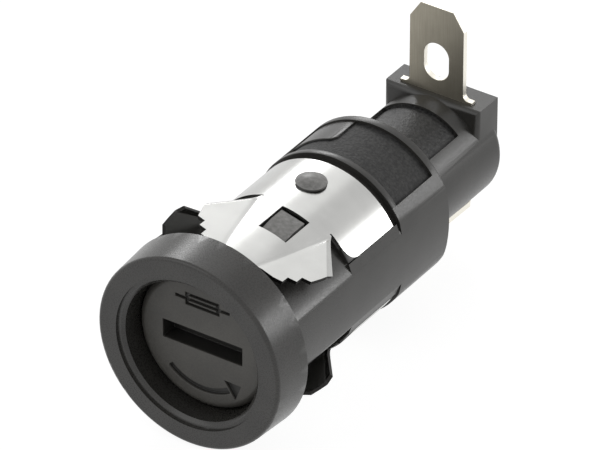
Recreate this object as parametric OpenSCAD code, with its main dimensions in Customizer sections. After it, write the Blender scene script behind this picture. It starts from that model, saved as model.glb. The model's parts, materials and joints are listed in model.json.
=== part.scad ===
// Panel mounted holder for a 5 x 20 mm cartridge fuse, snapped into the panel by a spring clip.
// The axis runs along Y. The flange's rear face is at y = 0 and the fuse goes in from -Y.
// Angles round the axis are counted from the top (+Z) towards +X. Sizes are in millimetres.

/* [Flange] */
// Diameter of the front flange
flange_d = 16.3; // [15.5:0.1:20]
// Length of the flange in front of the panel
flange_len = 3.5; // [3.1:0.1:5]
// Shrinking of the flange's radius from its rear to its front
flange_draft = 0.2; // [0:0.05:0.4]
// Rounding of the flange's front edge
flange_edge = 0.3; // [0.1:0.05:0.6]
// Diameter of the recess that the carrier's head lies in
recess_d = 11.6; // [11.4:0.1:12.1]
// Depth of the recess from the flange's front face
recess_depth = 3.05; // [2.9:0.05:3.3]
// Diameter of the shallow step round the recess
lip_d = 12.7; // [12.3:0.1:13.5]
// Depth of the shallow step
lip_depth = 0.2; // [0.1:0.05:0.4]
// Chamfer at the mouth of the recess
mouth_chamfer = 0.25; // [0.05:0.05:0.3]

/* [Barrel] */
// Diameter of the main barrel
barrel_d = 13.5; // [13.3:0.1:15]
// Length of the main barrel behind the panel
barrel_len = 21.7; // [21.2:0.1:24]
// Rounding of the main barrel's rear edge
barrel_edge = 0.25; // [0.05:0.05:0.5]
// Distance from the axis to the crowned side flat
flat_x = 6.35; // [6.2:0.05:6.6]
// Crown radius of the side flat
flat_crown_r = 12.8; // [11:0.2:20]
// Diameter of the neck under the clip's wings
neck_d = 11.9; // [11.6:0.1:12.4]
// Length of the neck
neck_len = 8.95; // [8.6:0.05:9]
// Half angle of the sunk label panel on the main barrel
label_half = 52; // [30:1:58]
// Depth of the sunk label panels
label_depth = 0.3; // [0.1:0.05:0.45]
// Width of the collar behind the main label panel
collar_len = 0.8; // [0.5:0.1:2]

/* [Rear barrel] */
// Diameter of the rear barrel
rear_d = 9.6; // [9.3:0.1:11]
// Rear end of the holder
rear_end = 31.7; // [31.3:0.1:36]
// Rounding of the rear barrel's end
rear_edge = 0.7; // [0.2:0.1:1]
// Half angle of the rear label panel
rear_label_half = 45; // [20:1:55]
// Length of the rear label panel
rear_label_len = 5.8; // [3:0.1:6.5]
// Width of the terminal block
block_w = 8.4; // [7.4:0.1:10]
// Length of the terminal block along the axis
block_len = 2.8; // [2.2:0.1:3.2]
// Height of the block's top above the axis
block_top = 4.85; // [4.7:0.05:7]
// Radius of the terminal block's front edges
block_edge = 0.4; // [0.1:0.05:0.5]

/* [Spring clip] */
// Sheet thickness of the clip
clip_th = 0.3; // [0.2:0.05:0.4]
// Diameter of the seat that the clip's band lies on
seat_d = 12.6; // [12.4:0.1:12.9]
// Front edge of the clip
clip_front = 1.3; // [0.8:0.1:2]
// Front edge of the clip's band
band_front = 9.05; // [8.8:0.05:10]
// Rear edge of the clip's band
band_rear = 14.85; // [13.6:0.05:15]
// End of the pocket that the clip lies in
pocket_rear = 15.5; // [15.1:0.1:16.5]
// Angle of the upper panel's centre line
panel_turn = 12; // [6:1:16]
// Angle between neighbouring panels
panel_step = 102; // [98:1:106]
// Half angle of a panel at the band
fold_root = 27.4; // [25:0.2:30]
// Half angle of a panel at its front edge
fold_tip = 10.5; // [9:0.5:14]
// Angle by which the upper panel's wings stand out
upper_bend = 15; // [8:1:32]
// Angle by which the side panel's wings stand out
side_bend = 30; // [8:1:32]
// Angle by which the lower panel's wings stand out
lower_bend = 19; // [8:1:32]
// Reach of a wing from its fold
wing_reach = 3.5; // [2.6:0.1:3.8]
// Distance along the fold to a wing's outer corner
wing_corner = 3.6; // [2.8:0.1:4.2]
// Number of panel catching teeth on a wing
teeth = 3; // [2:1:3]
// Angle of the stiffening lip along a wing's rear edge
lip_bend = 32; // [5:1:35]
// Width of the stiffening lip
lip_w = 0.95; // [0.4:0.05:1]
// Width of a panel's window
window_w = 2.45; // [1.8:0.05:2.6]
// Length of a panel's window
window_len = 3.15; // [2:0.05:3.3]
// Front end of the windows
window_front = 5.15; // [4.6:0.05:5.4]
// Turn of the windows from the panel's centre line
window_turn = 2; // [0:0.5:3]
// Angle of the clip's stud
stud_turn = 3.5; // [0:0.5:8]
// Place of the stud along the axis
stud_y = 12.05; // [11:0.05:12.6]
// Diameter of the stud's head
stud_head_d = 2.4; // [1.9:0.1:2.8]
// Diameter of the stud's shank
stud_shank_d = 1.6; // [1.2:0.1:1.8]

/* [Carrier] */
// Rounding of the carrier's front edge
head_edge = 0.6; // [0.1:0.05:0.7]
// Depth of the head's face behind the flange's face
head_sink = 1.9; // [1.6:0.05:2.1]
// Diameter of the carrier's stem
stem_d = 9.24; // [9.1:0.02:9.5]
// Rear end of the stem
stem_end = 4.4; // [3.9:0.1:4.6]
// Length of the screwdriver slot
slot_len = 7; // [5:0.1:8]
// Width of the screwdriver slot
slot_w = 1.6; // [1:0.1:2]
// Depth of the screwdriver slot
slot_depth = 1.5; // [0.8:0.1:1.6]
// Depth of the engraved marks
mark_depth = 0.3; // [0.1:0.05:0.4]
// Diameter of a bayonet lug
lug_d = 1.6; // [1.2:0.1:1.8]
// Place of the lugs along the axis
lug_y = 2.4; // [2.2:0.1:2.6]
// Reach of the lugs from the axis
lug_reach = 5.3; // [5.1:0.05:5.4]
// Angle from release to lock
lock_turn = 60; // [30:5:75]

/* [Fuse] */
// Diameter of the fuse's end caps
fuse_d = 5.2; // [5.1:0.05:5.3]
// Length of the fuse
fuse_len = 20; // [19.5:0.1:20.5]
// Front end of the fuse
fuse_front = 2.3; // [2.2:0.05:2.5]
// Length of an end cap
cap_len = 5.5; // [4.5:0.1:6.5]
// Sheet thickness of an end cap
cap_th = 0.35; // [0.2:0.05:0.5]
// Wall of the glass tube
glass_wall = 0.45; // [0.3:0.05:0.8]
// Diameter of the fuse wire
wire_d = 0.3; // [0.1:0.05:0.6]

/* [Contacts] */
// Sheet thickness of the carrier's contact sleeve
sleeve_th = 0.3; // [0.2:0.05:0.4]
// Rear end of the contact sleeve
sleeve_end = 8.6; // [7.6:0.1:8.8]
// Number of sprung fingers on the sleeve
sleeve_fingers = 4; // [3:1:6]
// Diameter of the sprung rear contact
plunger_d = 7.1; // [6.6:0.05:7.1]
// Length of the rear contact's skirt
plunger_skirt = 1.75; // [1.2:0.05:2.5]
// Diameter of the contact spring at the middle of its wire
spring_d = 5; // [4:0.1:5.2]
// Diameter of the spring's wire
spring_wire = 0.5; // [0.3:0.05:0.6]
// Turns of the spring
spring_turns = 5; // [4:1:6]

/* [Terminals] */
// Width of a terminal tab
tab_w = 4.8; // [4:0.1:5.4]
// Sheet thickness of the terminals
tab_th = 0.5; // [0.4:0.05:0.6]
// Width of the upper terminal's shoulders
shoulder_w = 6.4; // [5.8:0.1:6.6]
// Height of the shoulders above the block
shoulder_up = 0.2; // [0.2:0.05:0.8]
// Height of the upper tab's tip above the axis
tab_top = 12.45; // [11:0.05:15]
// Distance from the block's front face to the upper tab
tab_inset = 0.7; // [0.6:0.05:1]
// Width of a tab's obround hole
tab_hole_w = 2.2; // [1.4:0.1:2.6]
// Length of a tab's obround hole
tab_hole_len = 3.2; // [2.8:0.1:4]
// Height of the upper hole's centre above the block
tab_hole_up = 2.8; // [2.6:0.05:3.6]
// Width of a tab's corner chamfer
tab_corner_w = 0.95; // [0.3:0.05:1.2]
// Height of a tab's corner chamfer
tab_corner_h = 1.45; // [0.4:0.05:2]
// Width of the side terminal's rail
rail_w = 3; // [2:0.1:3.2]
// Depth of the rail's middle below the axis
rail_drop = 4.75; // [4.65:0.05:4.95]
// Rear end of the lower tab
low_tab_end = 32.4; // [29.5:0.1:34]
// Fall of the lower tab from the barrel to its tip
low_tab_fall = 0.3; // [0:0.1:1.5]

/* [Fits] */
// Clearance round the carrier's head
head_fit = 0.15; // [0.1:0.01:0.4]
// Running clearance round the carrier's stem
stem_fit = 0.08; // [0.02:0.01:0.1]
// Running clearance round the contact sleeve and the rear contact
slide_fit = 0.05; // [0.02:0.01:0.08]
// Clearance round the bayonet lugs
lug_fit = 0.1; // [0.05:0.01:0.15]
// Clearance round the seated sheet parts
sheet_fit = 0.05; // [0.02:0.01:0.1]
// Gap between the clip's panels and the wings' roots
fold_gap = 0.03; // [0.02:0.01:0.06]

/* [Hidden] */
$fn = 64;

charcoal = [0.16, 0.16, 0.165];
stainless = [0.86, 0.86, 0.85];
tinned = [0.62, 0.6, 0.55];
brass = [0.78, 0.66, 0.36];
glass = [0.85, 0.92, 0.93, 0.5];
past = 1; // length by which a cut runs past the surface that it opens

flange_r = flange_d / 2;
recess_r = recess_d / 2;
recess_floor = recess_depth - flange_len;
barrel_r = barrel_d / 2;
neck_r = neck_d / 2;
rear_r = rear_d / 2;
block_front = rear_end - block_len;
label_rear = barrel_len - collar_len;

// The side flat's edges lie where its crown meets the barrel
crown_x = flat_crown_r - flat_x;
flat_edge_x = (pow(flat_crown_r, 2) - pow(barrel_r, 2) - pow(crown_x, 2)) / (2 * crown_x);
flat_half = sqrt(pow(barrel_r, 2) - pow(flat_edge_x, 2));
function crown_at(z) = sqrt(pow(flat_crown_r, 2) - pow(z, 2)) - crown_x;
strip_inset = 0.35; // the flat is this much narrower along the clip, to leave the wings room
strip_corner = 1; // rounding of the flat's edges along the clip
strip_half = flat_half - strip_inset;
strip_x = crown_at(strip_half - strip_corner) - strip_corner;

clip_in = seat_d / 2;
clip_out = clip_in + clip_th;
panel_turns = [panel_turn, panel_turn - panel_step, panel_turn - 2 * panel_step];
window_turns = [panel_turns[0] + window_turn, panel_turns[1], panel_turns[2] - window_turn];
stud_turns = [stud_turn, 2 * (panel_turn - panel_step) - stud_turn];
boss_sink = 0.1;
boss_top = clip_out - boss_sink;
boss_gap = 0.2;
boss_rear_gap = 0.4;
boss_ramp = 1.2; // length of the boss's ramp
boss_ramp_drop = 0.25;
stud_hole_gap = 0.1;
stud_rim = 0.15;
stud_dome = 0.35;
stud_step = 0.08; // step from the head's rim to its dome
end_corner = 1.2;

head_r = recess_r - head_fit;
head_front = head_sink - flange_len;
head_gap = 0.1;
stem_r = stem_d / 2;
stem_bore_r = stem_r + stem_fit;
sleeve_room = 0.6;
stem_bore_end = sleeve_end + sleeve_room;
lug_r = lug_d / 2;
groove_half = lug_r + lug_fit;
groove_r = lug_reach + lug_fit;
groove_over = asin(groove_half / stem_r);

fuse_r = fuse_d / 2;
fuse_rear = fuse_front + fuse_len;
glass_r = fuse_r - cap_th;
cap_edge = 0.8 * cap_th;
fuse_fit = 0.03;
sleeve_in = fuse_r + fuse_fit;
sleeve_out = sleeve_in + sleeve_th;
sleeve_front = fuse_front - sleeve_th;
sleeve_slot = 0.6;
sleeve_mouth = 0.4;

plunger_r = plunger_d / 2;
fuse_bore_r = plunger_r + slide_fit;
dish_depth = 0.5;
dish_flare = 0.25;
plunger_web = 0.5;
plunger_wall = 0.45;
plunger_front = fuse_rear + slide_fit - dish_depth;
plunger_seat = plunger_front + dish_depth + plunger_web;
bead_rise = 0.25;
bead_len = 0.5;
bead_rear = plunger_front - slide_fit;

tab_front = block_front + tab_inset;
shoulder_fillet = 0.28 * (shoulder_w - tab_w); // rounding between a shoulder and the tab
tab_rear = tab_front + tab_th;
blade_up = 0.3; // height of the blade's foot above the bore's lowest line
blade_low = blade_up - fuse_bore_r;
rail_z = -rail_drop;
rail_low = rail_z - tab_th / 2;
rail_lead = 0.25; // length by which the rail's slot starts before the neck's end
step_gap = 0.1; // gap between the barrel's rear face and the lower tab
step_lap = 0.2; // length by which the rail runs on into the lower tab
low_hole_in = tab_hole_up + 1; // distance from the lower tab's tip to its hole's centre
finger_w = 2.4;
finger_th = 0.35;
finger_start = 0.4; // from the end of the carrier's bore to the finger's root
finger_seat = 2; // length of the finger's root on the rail
finger_cover = 1.7; // from the sleeve's rear end to the finger's crest
finger_lead = 0.9; // from the finger's crest to its tip
finger_flare = 0.35; // rise of the tip away from the sleeve
finger_root_y = stem_bore_end + finger_start;
finger_crest_y = sleeve_end - finger_cover;
finger_tip_y = finger_crest_y - finger_lead;
finger_crest_z = -(sleeve_out + slide_fit + finger_th / 2);
neck_wall = 0.6; // rise of the finger's slot that leaves the neck its wall

// A child's radius and height become its radius and its place along Y
module turned() {
    rotate([-90, 0, 0]) rotate_extrude() children();
}

module at_angle(t) {
    rotate([0, t, 0]) children();
}

// Rounded corner of a profile, with a little of the circle behind it as a lap
module round_corner(edge) {
    intersection() {
        circle(edge);
        translate([-edge / 4, -edge / 4]) square(2 * edge);
    }
}

// Profile of a cylinder whose far edge is rounded
module round_end_profile(r, y0, y1, edge) {
    translate([0, y0]) square([r, y1 - edge - y0]);
    translate([0, y0]) square([r - edge, y1 - y0]);
    translate([r - edge, y1 - edge]) round_corner(edge);
}

// Part of a ring from angle t0 to angle t1
module ring_sector(r0, r1, y0, y1, t0, t1) {
    at_angle(t0 - 90) rotate([-90, 0, 0]) rotate_extrude(angle = t1 - t0)
        translate([r0, y0]) square([r1 - r0, y1 - y0]);
}

// Obround hole through a tab, long side along the second axis
module obround(w, len) {
    square([w, len - w], center = true);
    for (s = [-1, 1]) translate([0, s * (len - w) / 2]) circle(w / 2);
}

// Strip under the side flat with rounded edges, from y0 to y1
module flat_strip(y0, y1) {
    low = strip_half - strip_corner;
    translate([0, y1, 0]) rotate([90, 0, 0]) linear_extrude(y1 - y0) {
        translate([0, -low]) square([2 * barrel_r, 2 * low]);
        translate([0, -strip_half]) square([strip_x, 2 * strip_half]);
        for (side = [-1, 1]) translate([strip_x, side * low]) circle(strip_corner);
    }
}

// Barrel cut by the crowned flat, with the neck, the clip's pocket and the sunk label panel
module main_barrel() {
    difference() {
        intersection() {
            turned() round_end_profile(barrel_r, -past, barrel_len, barrel_edge);
            translate([-crown_x, -2 * past, 0]) rotate([-90, 0, 0])
                cylinder(r = flat_crown_r, h = barrel_len + 3 * past, $fn = 128);
        }
        difference() {
            turned() {
                translate([neck_r, -2 * past]) square([barrel_r, neck_len + 2 * past]);
                translate([clip_in, 0]) square([barrel_r, pocket_rear]);
            }
            flat_strip(-3 * past, pocket_rear + past);
        }
        ring_sector(barrel_r - label_depth, barrel_r + past, pocket_rear - past, label_rear,
            -label_half, label_half);
    }
}

// Rectangle whose corner on the second axis is rounded
module one_round_corner(size, edge) {
    square([size.x, size.y - edge]);
    translate([edge, 0]) square([size.x - edge, size.y]);
    translate([edge, size.y - edge]) circle(edge);
}

// Block for the upper terminal, rounded along its front edges
module terminal_block() {
    intersection() {
        translate([-block_w / 2, block_front, 0]) rotate([90, 0, 90]) linear_extrude(block_w)
            one_round_corner([block_len, block_top], block_edge);
        linear_extrude(block_top) for (side = [0, 1]) mirror([side, 0])
            translate([-block_w / 2, rear_end]) mirror([0, 1])
                one_round_corner([block_w - block_edge, block_len], block_edge);
    }
}

module rear_barrel() {
    difference() {
        turned() round_end_profile(rear_r, barrel_len - past, rear_end, rear_edge);
        ring_sector(rear_r - label_depth, rear_r + past, barrel_len, barrel_len + rear_label_len,
            -rear_label_half, rear_label_half);
    }
    terminal_block();
}

// Ramped latch that stands in a window of the clip
module window_boss() {
    w = window_w - 2 * boss_gap;
    len = window_len - boss_gap - boss_rear_gap;
    low = neck_r - past;
    translate([-w / 2, window_front + boss_gap, 0]) rotate([90, 0, 90]) linear_extrude(w)
        polygon([[0, low], [len, low], [len, boss_top], [boss_ramp, boss_top],
            [0, boss_top - boss_ramp_drop]]);
}

// Stud with a flattened head that holds the clip's band
module clip_stud() {
    foot = stud_head_d / 2 - stud_step;
    dome_r = (pow(foot, 2) + pow(stud_dome, 2)) / (2 * stud_dome);
    translate([0, stud_y, clip_in - past]) cylinder(d = stud_shank_d, h = past + clip_th + stud_rim);
    translate([0, stud_y, clip_out]) {
        cylinder(d = stud_head_d, h = stud_rim);
        rotate_extrude() intersection() {
            translate([0, stud_rim + stud_dome - dome_r]) circle(dome_r);
            translate([0, stud_rim / 2]) square(dome_r);
        }
    }
}

module housing_bores() {
    turned() polygon([[0, -flange_len - past], [lip_d / 2, -flange_len - past],
        [lip_d / 2, lip_depth - flange_len], [recess_r + mouth_chamfer, lip_depth - flange_len],
        [recess_r, lip_depth + mouth_chamfer - flange_len], [recess_r, recess_floor],
        [stem_bore_r, recess_floor], [stem_bore_r, stem_bore_end], [fuse_bore_r, stem_bore_end],
        [fuse_bore_r, bead_rear - bead_len], [fuse_bore_r - bead_rise, bead_rear - bead_len / 2],
        [fuse_bore_r - bead_rise, bead_rear], [fuse_bore_r, bead_rear],
        [fuse_bore_r, tab_front], [0, tab_front]]);
    for (side = [90, 270]) {
        at_angle(side) translate([-groove_half, recess_floor - past, 0])
            cube([2 * groove_half, lug_y + groove_half + past - recess_floor, groove_r]);
        ring_sector(stem_bore_r - past, groove_r, lug_y - groove_half, lug_y + groove_half,
            side, side + lock_turn + groove_over);
    }
}

// Slots for the two terminals
module terminal_slots() {
    w = shoulder_w + 2 * sheet_fit;
    translate([-w / 2, tab_front, blade_low]) cube([w, tab_th + sheet_fit, block_top + past - blade_low]);
    bed = tab_w + 4 * sheet_fit;
    translate([-bed / 2, barrel_len, -rear_r - past])
        cube([bed, rear_end, rear_r + past + rail_z + tab_th / 2 + sheet_fit]);
    rail_slot = rail_w + 2 * sheet_fit;
    rail_front = neck_len - rail_lead;
    translate([-rail_slot / 2, rail_front, rail_low])
        cube([rail_slot, barrel_len + past - rail_front, tab_th + sheet_fit]);
    translate([-rail_slot / 2, rail_front, rail_low])
        cube([rail_slot, finger_root_y + past - rail_front, -rail_low - fuse_r]);
    finger_slot = finger_w + 4 * sheet_fit;
    translate([-finger_slot / 2, finger_tip_y - past, rail_low + neck_wall])
        cube([finger_slot, finger_root_y - finger_tip_y, -rail_low - fuse_r]);
}

// Flange with a little draft and a rounded front edge, its rear face on the first axis
module flange_profile() {
    front_r = flange_r - flange_draft;
    side_end = flange_len - flange_edge;
    polygon([[0, 0], [flange_r, 0], [front_r, side_end], [0, side_end]]);
    square([front_r - flange_edge, flange_len]);
    translate([front_r - flange_edge, side_end]) round_corner(flange_edge);
}

module housing() {
    color(charcoal) difference() {
        union() {
            turned() mirror([0, 1]) flange_profile();
            main_barrel();
            rear_barrel();
            for (t = window_turns) at_angle(t) window_boss();
            for (t = stud_turns) at_angle(t) clip_stud();
        }
        housing_bores();
        terminal_slots();
    }
}

// Fold between a panel and its right wing: a chord on the sheet's inner face
function around(r, t, y) = [r * sin(t), y, r * cos(t)];
function unit(p) = p / norm(p);
fold_a = around(clip_in, fold_root, band_front);
fold_b = around(clip_in, fold_tip, clip_front);
fold_len = norm(fold_b - fold_a);
fold_u = unit(fold_b - fold_a);
fold_radial = around(1, (fold_root + fold_tip) / 2, 0);
fold_n = unit(fold_radial - fold_u * (fold_radial * fold_u));
fold_v = cross(fold_n, fold_u);

// Puts a child's X along the fold and its Y across it, turned outward by bend
module fold_frame(bend) {
    v = fold_v * cos(bend) + fold_n * sin(bend);
    w = fold_n * cos(bend) - fold_v * sin(bend);
    multmatrix([[fold_u.x, v.x, w.x, fold_a.x], [fold_u.y, v.y, w.y, fold_a.y],
        [fold_u.z, v.z, w.z, fold_a.z], [0, 0, 0, 1]]) children();
}

// Space between the right fold of one panel and the left fold of the next
module panel_gap(from, to) {
    size = 4 * clip_out;
    intersection() {
        ring_sector(clip_in - past, clip_out + past, clip_front - past, band_front, from, to);
        at_angle(from) fold_frame(0) translate([-size / 2, 0, -size / 2]) cube(size);
        at_angle(to) mirror([1, 0, 0]) fold_frame(0) translate([-size / 2, 0, -size / 2]) cube(size);
    }
}

// What a rounded corner of radius r takes away, its corner at the origin
module corner_cut(r) {
    difference() {
        translate([0, -past, -past]) cube([2 * clip_out, r + past, r + past]);
        translate([-past, r, r]) rotate([0, 90, 0]) cylinder(r = r, h = 2 * clip_out + 2 * past);
    }
}

// One bent sheet: the band, open at the side flat, and three panels reaching forward
module spring_clip() {
    end_gap = flat_half - sheet_fit;
    color(stainless) difference() {
        turned() translate([clip_in, clip_front]) square([clip_th, band_rear - clip_front]);
        panel_gap(panel_turns[2], panel_turns[1]);
        panel_gap(panel_turns[1], panel_turns[0]);
        panel_gap(panel_turns[0], panel_turns[2] + 360);
        translate([0, band_front - past, -end_gap]) cube([2 * clip_out, 2 * band_rear, 2 * end_gap]);
        for (side = [0, 1]) mirror([0, 0, side]) translate([0, band_front, end_gap]) corner_cut(end_corner);
        for (t = window_turns) at_angle(t) translate([-window_w / 2, window_front, 0])
            cube([window_w, window_len, 2 * clip_out]);
        for (t = stud_turns) at_angle(t) translate([0, stud_y, 0])
            cylinder(d = stud_shank_d + 2 * stud_hole_gap, h = 2 * clip_out);
    }
}

// Outline of a wing: X along the fold from the band, Y away from it
tooth_pitch = 1;
tooth_drop = 0.5;
tooth_cut = [0.3, -0.65];
tooth_first = [1.55, -0.15];
root_start = 0.2;
plate_end = 0.75;
lip_back = 1.2;
lip_inset = 0.1;
wing_c = [wing_corner, wing_reach];
wing_d = [wing_corner + plate_end, wing_reach];
function tooth_tip(i) = wing_c + tooth_first + i * [tooth_pitch, -tooth_drop];
wing_plate = concat([[root_start, -wing_reach], [root_start, root_start]], [wing_d],
    [for (i = [0:teeth - 1]) each [tooth_tip(i), tooth_tip(i) + tooth_cut]],
    [[fold_len - root_start, 0], [fold_len - root_start, -wing_reach]]);

module right_wing(bend) {
    lip_angle = atan2(wing_d.y - root_start, wing_d.x - root_start);
    lip_len = norm(wing_d - [root_start, root_start]);
    difference() {
        fold_frame(bend) {
            linear_extrude(clip_th) polygon(wing_plate);
            // The lip's outer face turns down from the line along the plate's edge
            translate([root_start, root_start, clip_th]) rotate([0, 0, lip_angle]) rotate([-lip_bend, 0, 0])
                translate([0, 0, -clip_th]) linear_extrude(clip_th)
                    polygon([[lip_inset, 0], [lip_len - lip_back, lip_w], [lip_len - lip_inset, 0]]);
        }
        fold_frame(0) translate([-3 * past, fold_gap - 2 * wing_reach, -wing_reach])
            cube([fold_len + 6 * past, 2 * wing_reach, 2 * wing_reach]);
    }
}

module left_wing(bend) {
    mirror([1, 0, 0]) right_wing(bend);
}

module upper_right_wing() {
    color(stainless) at_angle(panel_turns[0]) right_wing(upper_bend);
}

module upper_left_wing() {
    color(stainless) at_angle(panel_turns[0]) left_wing(upper_bend);
}

module side_upper_wing() {
    color(stainless) at_angle(panel_turns[1]) right_wing(side_bend);
}

module side_lower_wing() {
    color(stainless) at_angle(panel_turns[1]) left_wing(side_bend);
}

module lower_left_wing() {
    color(stainless) at_angle(panel_turns[2]) right_wing(lower_bend);
}

module lower_right_wing() {
    color(stainless) at_angle(panel_turns[2]) left_wing(lower_bend);
}

// Engraved signs on the carrier's head: a turning arrow and the drawn symbol of a fuse
arrow_r = 4.1;
arrow_w = 0.5;
arrow_head = [1.3, 0.85]; // length and half width of the arrow's point
arrow_lap = 0.1; // gap that keeps the point from running past its line
arrow_from = 224;
arrow_to = 146;
symbol_z = 3.35;
symbol_size = [3, 1.1];
symbol_line = 0.28;
symbol_tail = 0.9;
module head_marks() {
    depth = mark_depth + past;
    translate([0, head_front - past, 0]) {
        ring_sector(arrow_r - arrow_w / 2, arrow_r + arrow_w / 2, 0, depth, arrow_to, arrow_from);
        at_angle(arrow_to) translate([0, depth, arrow_r]) rotate([90, 0, 0]) linear_extrude(depth)
            polygon([[-arrow_lap, -arrow_head.y], [-arrow_lap, arrow_head.y], [-arrow_head.x, 0]]);
        translate([0, depth, symbol_z]) rotate([90, 0, 0]) linear_extrude(depth) {
            difference() {
                square(symbol_size, center = true);
                square(symbol_size - 2 * [symbol_line, symbol_line], center = true);
            }
            square([symbol_size.x + 2 * symbol_tail, symbol_line], center = true);
        }
    }
}

module carrier_cap() {
    color(charcoal) difference() {
        union() {
            turned() mirror([0, 1])
                round_end_profile(head_r, head_gap - recess_floor, -head_front, head_edge);
            turned() translate([0, recess_floor - past]) square([stem_r, stem_end + past - recess_floor]);
            for (side = [90, 270]) at_angle(side) translate([0, lug_y, sleeve_out + 2 * slide_fit])
                cylinder(d = lug_d, h = lug_reach - sleeve_out - 2 * slide_fit);
        }
        turned() translate([0, sleeve_front - slide_fit])
            square([sleeve_out + slide_fit, stem_end + past - sleeve_front]);
        translate([-slot_len / 2, head_front - past, -slot_w / 2])
            cube([slot_len, slot_depth + past, slot_w]);
        head_marks();
    }
}

module contact_sleeve() {
    color(tinned) difference() {
        turned() polygon([[0, sleeve_front], [sleeve_out, sleeve_front], [sleeve_out, sleeve_end],
            [sleeve_out - sleeve_th / 2, sleeve_end], [sleeve_in, sleeve_end - sleeve_mouth],
            [sleeve_in, fuse_front], [0, fuse_front]]);
        for (i = [0:sleeve_fingers - 1]) at_angle((i + 0.5) * 360 / sleeve_fingers)
            translate([-sleeve_slot / 2, stem_end, 0]) cube([sleeve_slot, sleeve_end, 2 * sleeve_out]);
    }
}

// Drawn end cap, open towards +Y
module end_cap_profile() {
    difference() {
        round_end_profile(fuse_r, -cap_len, 0, cap_edge);
        translate([0, -cap_len - past]) square([glass_r, cap_len - cap_th + past]);
    }
}

module fuse_front_cap() {
    color(tinned) translate([0, fuse_front, 0]) turned() mirror([0, 1]) end_cap_profile();
}

module fuse_rear_cap() {
    color(tinned) translate([0, fuse_rear, 0]) turned() end_cap_profile();
}

module fuse_tube() {
    color(glass) turned() translate([glass_r - glass_wall, fuse_front + cap_th])
        square([glass_wall, fuse_len - 2 * cap_th]);
}

module fuse_wire() {
    color(tinned) turned() translate([0, fuse_front + cap_th]) square([wire_d / 2, fuse_len - 2 * cap_th]);
}

// Cup with a dish for the fuse in front and a skirt round the spring behind
module rear_contact() {
    inner = plunger_r - plunger_wall;
    dish = plunger_seat - plunger_web;
    color(brass) turned() polygon([[0, dish], [fuse_r + slide_fit, dish],
        [fuse_r + slide_fit + dish_flare, plunger_front], [plunger_r, plunger_front],
        [plunger_r, plunger_seat + plunger_skirt], [inner, plunger_seat + plunger_skirt],
        [inner, plunger_seat], [0, plunger_seat]]);
}

// One unbroken wire: rings of points along a helix, joined by triangles
spring_sides = 6;
spring_rings = 16;
spring_from = plunger_seat + spring_wire / 2;
spring_to = tab_front - spring_wire / 2;
spring_steps = spring_turns * spring_rings;
function spring_mid(i) = around(spring_d / 2, 360 * i / spring_rings,
    spring_from + (spring_to - spring_from) * i / spring_steps);
function spring_ring(i) = let (
    ahead = unit(spring_mid(i + 0.5) - spring_mid(i - 0.5)),
    out = unit(around(1, 360 * i / spring_rings, 0)),
    side = unit(cross(ahead, out)))
    [for (k = [0:spring_sides - 1]) spring_mid(i)
        + spring_wire / 2 * (out * cos(360 * k / spring_sides) + side * sin(360 * k / spring_sides))];
function ring_faces(i) = [for (k = [0:spring_sides - 1]) let (
    a = i * spring_sides + k, b = i * spring_sides + (k + 1) % spring_sides)
    each [[a, b, a + spring_sides], [b, b + spring_sides, a + spring_sides]]];
function end_fan(first) = [for (k = [1:spring_sides - 2]) [first, first + k, first + k + 1]];
spring_gap = (spring_to - spring_from) / spring_turns - spring_wire;
module contact_spring() {
    echo(gap_between_spring_turns = spring_gap);
    points = [for (i = [0:spring_steps]) each spring_ring(i)];
    last = spring_steps * spring_sides;
    faces = concat([for (i = [0:spring_steps - 1]) each ring_faces(i)],
        [for (f = end_fan(0)) [f[0], f[2], f[1]]], end_fan(last));
    color(stainless) polyhedron(points, faces);
}

// Outline of a tab's free end, its tip at height top
module tab_end(from, top) {
    half = tab_w / 2;
    polygon([[-half, from], [half, from], [half, top - tab_corner_h], [half - tab_corner_w, top],
        [tab_corner_w - half, top], [-half, top - tab_corner_h]]);
}

module rear_terminal() {
    shoulder = block_top + shoulder_up;
    color(tinned) translate([0, tab_rear, 0]) rotate([90, 0, 0]) linear_extrude(tab_th) difference() {
        union() {
            translate([-shoulder_w / 2, blade_low]) square([shoulder_w, shoulder - blade_low]);
            tab_end(blade_low, tab_top);
            for (side = [0, 1]) mirror([side, 0]) translate([tab_w / 2, shoulder]) difference() {
                translate([-past, -past]) square(shoulder_fillet + past);
                translate([shoulder_fillet, shoulder_fillet]) circle(shoulder_fillet);
            }
        }
        translate([0, block_top + tab_hole_up]) obround(tab_hole_w, tab_hole_len);
    }
}

// Bent strip seen from the side: the points of its middle line with half its thickness to each side
function strip_normal(p, i) = let (
    a = p[max(i - 1, 0)], b = p[i], c = p[min(i + 1, len(p) - 1)],
    n1 = i > 0 ? unit([a.y - b.y, b.x - a.x]) : unit([b.y - c.y, c.x - b.x]),
    n2 = i < len(p) - 1 ? unit([b.y - c.y, c.x - b.x]) : n1,
    m = unit(n1 + n2))
    m / (m * n1);
module bent_strip(path, th, w) {
    last = len(path) - 1;
    rotate([90, 0, 90]) translate([0, 0, -w / 2]) linear_extrude(w) polygon(concat(
        [for (i = [0:last]) path[i] + strip_normal(path, i) * th / 2],
        [for (i = [last:-1:0]) path[i] - strip_normal(path, i) * th / 2]));
}

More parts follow.
